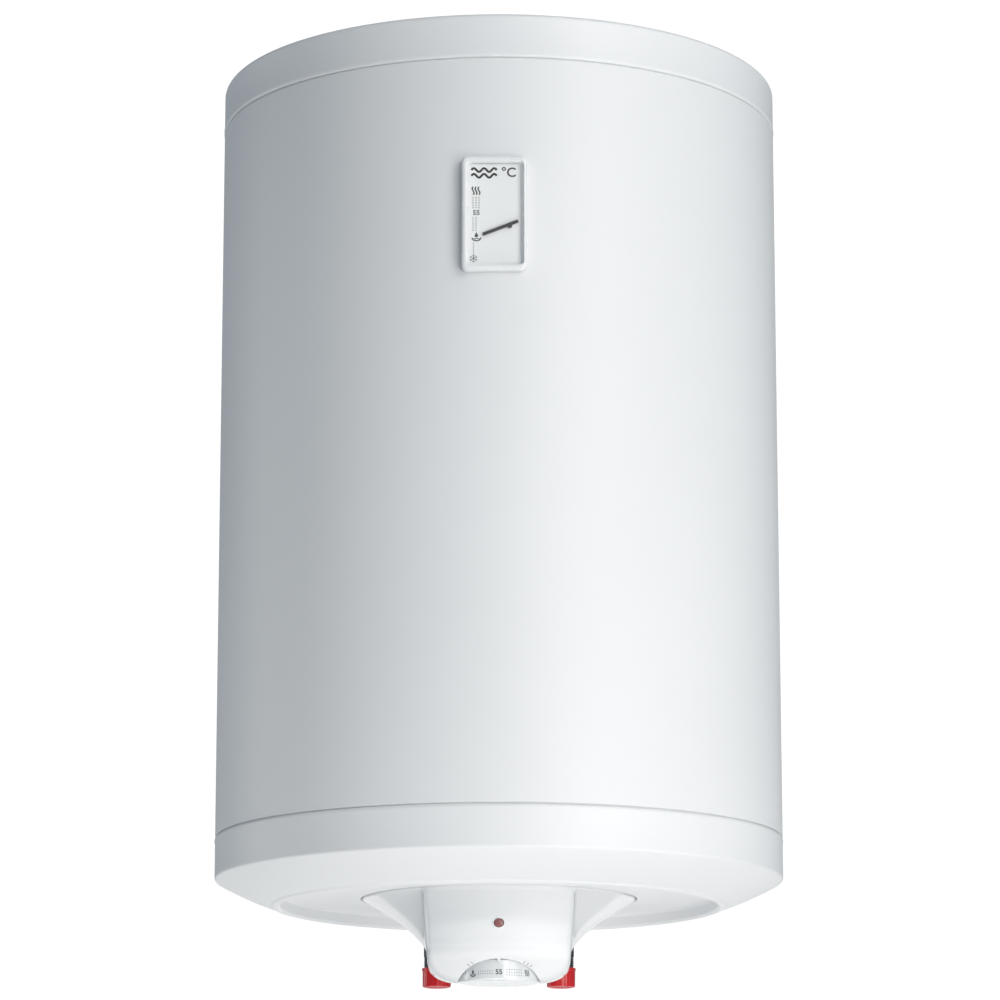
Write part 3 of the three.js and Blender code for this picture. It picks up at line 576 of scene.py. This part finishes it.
# The ring round the lamp takes the lighter white, a painted highlight standing for the catch-light on its
# edge.
rim = rounded([(4.15, 0.3, 0.2), (4.35, 0, 0.2), (4.85, 0, 0.3), (5.15, 0.5), (5.0, 2.2), (4.15, 2.2)],
              closed=True)
verts, faces = lathe_forward(rim, 64, 0, -110.15, LAMP_Z, LAMP_SQUASH, closed=True)
make('lamp_rim', verts, faces, PAINTED_HIGHLIGHT_WHITE, 'heater', ())


# ---------------------------------------------------------------- thermometer window

# The frame's centre and front, and the centre and size of its opening and of what sits in it.
WX, WZ, FRONT = -3.6, 456.1, -233.6
HX, HZ = -2.7, 455.9
HOLE_W, HOLE_H = 43.6, 81.9
PANE = (43.0, 80.9, 2.6)


def panel(x, z, cx, cz, w, h, corner):
    """A rounded rectangle in x, z."""
    qx, qz = np.abs(x - cx) - (w / 2 - corner), np.abs(z - cz) - (h / 2 - corner)
    return np.hypot(np.maximum(qx, 0), np.maximum(qz, 0)) + np.minimum(np.maximum(qx, qz), 0) - corner


def bezel(x, y, z):
    """The frame round the window, whose opening narrows towards the dial in a hollow curve."""
    edge = panel(x, z, WX, WZ, 50.2, 90.8, 5.0) + 0.06 * (FRONT - y + 4)
    block = smax(edge, FRONT - y, 2.4)
    block = smax(block, 227.35 - np.hypot(x, y), 0.5)
    hole = panel(x, z, HX, HZ, HOLE_W, HOLE_H, 3.0)
    sunk = 1.0 - np.sqrt(1.0 - np.clip((y - FRONT - 0.8) / 4.0, 0.0, 1.0) ** 2)
    cove = panel(x, z, HX - 0.3 * sunk, HZ, HOLE_W - 8.6 * sunk, HOLE_H - 2.4 * sunk, 3.0)
    hole = np.minimum(cove, np.maximum(hole, -229.3 - y))
    return smax(block, -hole, 1.0)


verts, faces = skin(bezel, (-29, -234, 408), (22, -224, 502), 0.4)
make('window_frame_skin', verts, faces, FRAME_WHITE, 'heater', ['indicator_frame'],
     sharp=None)


def slab(name, x, z, w, h, corner, y0, y1, mat, replaces, slot, rim=0.25):
    """A rounded plate standing upright between y0 and y1, its edges softened."""
    outline = []
    for cx, cz, start in ((1, -1, -90), (1, 1, 0), (-1, 1, 90), (-1, -1, 180)):
        for k in range(7):
            a = math.radians(start + 15 * k)
            outline.append((cx * (w / 2 - corner) + corner * math.cos(a),
                            cz * (h / 2 - corner) + corner * math.sin(a)))
    n = len(outline)
    verts = []
    for y, inset in ((y0, rim), (y0 + rim, 0), (y1 - rim, 0), (y1, rim)):
        verts += [(x + u * (1 - 2 * inset / w), y, z + v * (1 - 2 * inset / h)) for u, v in outline]
    faces = [tuple(range(n)), tuple(range(4 * n - 1, 3 * n - 1, -1))]
    for layer in range(3):
        low, high = layer * n, (layer + 1) * n
        faces += [(low + k, high + k, high + (k + 1) % n, low + (k + 1) % n) for k in range(n)]
    make(name, verts, faces, mat, 'heater', replaces, sharp=30)


DIAL_Y = -229.0
slab('window_lens_skin', HX, HZ, *PANE, FRONT + 0.6, FRONT + 1.5, LENS_CLEAR, ['indicator_lens'],
     'clear_plastic')
slab('dial_skin', HX, HZ, *PANE, DIAL_Y, -227.9, DIAL_WHITE, ['indicator_dial'], 'white_plastic')

dial = Print()
for col in (-19.9, -17.6, -15.3):
    for row in np.linspace(461.2, 469.0, 5):
        dial.dot(col, row, 0.46)
for col in (-19.9, -17.6):
    for row in np.linspace(443.0, 453.0, 6):
        dial.dot(col, row, 0.46)
for row in np.linspace(424.9, 432.8, 5):
    dial.dot(-19.5, row, 0.46)
dial.steam(-17.6, 474.6, 2.4)
dial.basin(-17.3, 437.8, 2.3)
dial.frost(-19.5, 420.6, 2.9)
dial.text('55', -17.4, 457.0, 5.6)
dial.text('°C', 7.6, 489.0, 10.5)
for line in (0, 1):
    dial.stroke([(-21.2 + 19.6 * t, 491.2 - 4.6 * line + 1.5 * math.sin(t * 5 * math.pi))
                 for t in np.linspace(0, 1, 41)], 1.7)
dial.build('dial_marks', lambda u, v: (u, DIAL_Y - PRINT_GAP, v), INK, 'heater')

PIVOT_X, PIVOT_Z, REST = 8.6, 446.2, math.radians(21.3)
needle = [(7.4, 2.4), (7.2, 2.6), (-22.0, 2.6), (-22.2, 2.4), (-22.2, 0.3), (-22.0, 0.1), (7.2, 0.1),
          (7.4, 0.3)]
blade = [(u * math.cos(REST) - v * math.sin(REST), u * math.sin(REST) + v * math.cos(REST))
         for u, v in needle]
n = len(blade)
verts = [(PIVOT_X + u, y, PIVOT_Z + v) for y in (-230.75, -230.25) for u, v in blade]
faces = [tuple(range(n)), tuple(range(2 * n - 1, n - 1, -1))]
faces += [(k, n + k, n + (k + 1) % n, (k + 1) % n) for k in range(n)]
make('pointer_skin', verts, faces, POINTER_BLACK, 'pointer', ['pointer'], sharp=30)
hub = rounded([(0, 0), (1.3, 0, 0.3), (1.7, 0.5, 0.3), (1.7, 1.15), (0, 1.15)])
verts, faces = lathe_forward(hub, 48, PIVOT_X, -231.35, PIVOT_Z)
make('pointer_hub', verts, faces, POINTER_BLACK, 'pointer', ())


# ---------------------------------------------------------------- water connections

THREAD_R, THREAD_ROOT, THREAD_PITCH = 10.45, 9.75, 1.81
cap = rounded([(0, -113.2), (8.6, -113.3), (9.6, -114.0, 0.5), (11.2, -113.8, 1.2), (11.35, -101.2, 0.4),
               (11.85, -100.6, 0.4), (11.9, -98.5, 0.6), (10.85, -98.5, 0.3), (10.85, -112.8),
               (0, -112.8)])


def cap_ribs(r, z, a):
    return 0.14 * math.cos(16 * a) if r > 11.0 and z < -101.0 else 0.0


for name, node, x in (('cold', 'cold_inlet_pipe', PIPE_X), ('hot', 'hot_outlet_pipe', -PIPE_X)):
    rows = [(7.8, -112.5, 0.3), (10.0, -112.5, 0.4), (THREAD_R, -111.4)]
    z = -111.0
    while z < -91.0:
        rows += [(THREAD_R, z), (THREAD_ROOT, z + 0.9), (THREAD_R, z + 1.8)]
        z += THREAD_PITCH
    rows += [(THREAD_R, z + 0.3), (THREAD_R, 34, 0.4), (7.8, 34, 0.4)]
    verts, faces = lathe(rounded(rows, closed=True), 64, at=(x, PIPE_Y), closed=True)
    make(name + '_pipe_skin', verts, faces, DARK_STEEL, 'heater', [node])
    verts, faces = lathe(cap, 128, at=(x, PIPE_Y), warp=cap_ribs)
    make(name + '_cap_skin', verts, faces, RED, 'heater', [name + '_cap'])


# ---------------------------------------------------------------- cable gland, screws and the kept nodes

GLAND_Y = 147
gland = rounded([(5, -30.2, 0.3), (8.4, -30.2, 0.3), (8.4, -43.8), (12, -43.8, 0.5), (12, -48.5, 0.8),
                 (9.6, -50.5, 0.6), (8.5, -58.5, 0.8), (5, -58.5, 0.6)], closed=True)


def gland_ribs(r, z, a):
    return 0.25 * math.cos(18 * a) - 0.25 if r > 11 and z > -49 else 0.0


verts, faces = lathe(gland, 64, at=(0, GLAND_Y), closed=True, warp=gland_ribs)
make('gland_skin', verts, faces, DARK, 'heater', ['cable_gland'])

LOOKS = {
    'zinc_steel': STEEL, 'dark_steel': DARK_STEEL, 'enamelled_steel': ENAMEL, 'foam': FOAM, 'rubber': RUBBER,
    'copper': COPPER, 'brass': BRASS, 'magnesium': MAGNESIUM, 'dark_plastic': DARK, 'red_plastic': RED,
    'white_plastic': FRAME_WHITE, 'painted_shell': SHELL_PAINT, 'clear_plastic': LENS_CLEAR,
    'lamp_plastic': LAMP,
}
slots = {s['node']: s['material_slot'] for s in frame['record']['subparts']}
for name, obj in frame['nodes'].items():
    look = WIRES.get(name) or LOOKS[slots[name]]
    obj.data.materials.clear()
    obj.data.materials.append(look)
    obj.data.shade_smooth()
    obj.data.set_sharp_from_angle(angle=math.radians(35))
for name in ('wall_bracket', 'bracket_leg_left', 'bracket_leg_right', 'control_bracket', 'thermostat_body',
             'safety_cutout', 'terminal_block', 'lamp_holder', 'cover_screw_1', 'cover_screw_2'):
    edge = frame['nodes'][name].modifiers.new('soft_edges', 'BEVEL')
    edge.width, edge.segments, edge.limit_method = 0.0004, 2, 'ANGLE'
    edge.angle_limit = math.radians(40)


# ---------------------------------------------------------------- camera, light and floor

camera = bpy.data.objects.new('camera', bpy.data.cameras.new('camera'))
scene.collection.objects.link(camera)
camera.location = (0.0009, AXIS_Y / 1000 - 3.34992, -0.91829)
camera.rotation_euler = (math.pi / 2 + 0.207227, 0, 0)
camera.data.sensor_width, camera.data.lens = 36.0, 151.18
camera.data.clip_start, camera.data.clip_end = 0.05, 50.0
scene.camera = camera

TARGET = Vector((0, -0.234, -0.25))


def softbox(name, azimuth, elevation, distance, width, height, power, target=TARGET):
    """An area light facing target. Azimuth 0 is in front, positive to the viewer's right, in degrees."""
    a, e = math.radians(azimuth), math.radians(elevation)
    where = target + Vector((math.sin(a) * math.cos(e), -math.cos(a) * math.cos(e), math.sin(e))) * distance
    light = bpy.data.lights.new(name, 'AREA')
    light.shape, light.size, light.size_y, light.energy = 'RECTANGLE', width, height, power
    obj = bpy.data.objects.new(name, light)
    obj.location = where
    obj.rotation_mode = 'QUATERNION'
    obj.rotation_quaternion = (where - target).to_track_quat('Z', 'Y')
    light.color = (1.0, 0.975, 0.94)
    obj.visible_camera = False
    scene.collection.objects.link(obj)
    return obj


# Azimuth, elevation, distance, width, height and power.
LIGHTS = {
    'key_near': (20, 8, 3.0, 0.75, 1.9, 12.7),
    'key_mid': (32, 8, 3.0, 0.75, 1.9, 6.9),
    'key_far': (44, 8, 3.0, 0.75, 1.9, 6.9),
    'key_high': (40, 30, 3.0, 1.0, 1.0, 16.5),
    'key_low': (40, -20, 2.6, 1.0, 1.0, 14.8),
    'rim_left': (-105, 8, 3.0, 1.2, 1.9, 16.5),
    'front': (5, 12, 3.4, 1.0, 0.6, 3.7),
    'above': (15, 60, 3.0, 1.4, 1.2, 8.4),
    'table': (0, -70, 1.25, 1.6, 0.7, 6.25),
    'behind': (180, -18, 2.5, 2.5, 1.2, 6.9),
    'rear': (180, 25, 3.0, 1.2, 1.6, 12.0),
}
# The glossy cover mirrors one long strip low in front instead of the upright boxes that light the shell.
# The soft copies light the cover without a mirror image. The rear light has none either, so no glare
# shows along the edges seen from the front.
cover_only, all_else = bpy.data.collections.new('cover_only'), bpy.data.collections.new('all_else')
cover_only.objects.link(cover_skin)
all_else.objects.link(cover_skin)
all_else.collection_objects[0].light_linking.link_state = 'EXCLUDE'
SOFT_GAIN, SOFT_TABLE_GAIN = 1.18, 0.9
for name, values in LIGHTS.items():
    box = softbox(name, *values)
    box.visible_glossy = name != 'rear'
    if not name.startswith(('key', 'front', 'table')):
        continue
    box.light_linking.receiver_collection = all_else
    soft = softbox(name + '_soft', *values)
    soft.visible_glossy = False
    soft.data.energy *= SOFT_TABLE_GAIN if name == 'table' else SOFT_GAIN
    soft.light_linking.receiver_collection = cover_only
strip = softbox('strip', 2, -5, 2.6, 11.0, 0.95, 36.0, Vector((0, -0.343, -0.66)))
strip.visible_diffuse = False
strip.light_linking.receiver_collection = cover_only

# The camera sees a white backdrop, while the object is lit by a dim bluish one.
world = bpy.data.worlds.new('world')
scene.world = world
world.use_nodes = True
nodes, links = world.node_tree.nodes, world.node_tree.links
nodes.clear()
out = nodes.new('ShaderNodeOutputWorld')
seen, lit = nodes.new('ShaderNodeBackground'), nodes.new('ShaderNodeBackground')
seen.inputs['Color'].default_value = (1, 1, 1, 1)
seen.inputs['Strength'].default_value = 1.05
lit.inputs['Color'].default_value = (0.8, 1.0, 1.18, 1)
lit.inputs['Strength'].default_value = 0.19
path, mix = nodes.new('ShaderNodeLightPath'), nodes.new('ShaderNodeMixShader')
links.new(path.outputs['Is Camera Ray'], mix.inputs[0])
links.new(lit.outputs[0], mix.inputs[1])
links.new(seen.outputs[0], mix.inputs[2])
links.new(mix.outputs[0], out.inputs['Surface'])

floor_mesh = bpy.data.meshes.new('floor')
bm = bmesh.new()
bmesh.ops.create_grid(bm, x_segments=1, y_segments=1, size=6.0)
bm.to_mesh(floor_mesh)
bm.free()
floor = bpy.data.objects.new('floor', floor_mesh)
floor.location = (0, -1.0, -1.6)
floor.data.materials.append(material('floor_pale', (0.82, 0.82, 0.82), 0.7, grain=0.01, grain_size=8.0))
scene.collection.objects.link(floor)
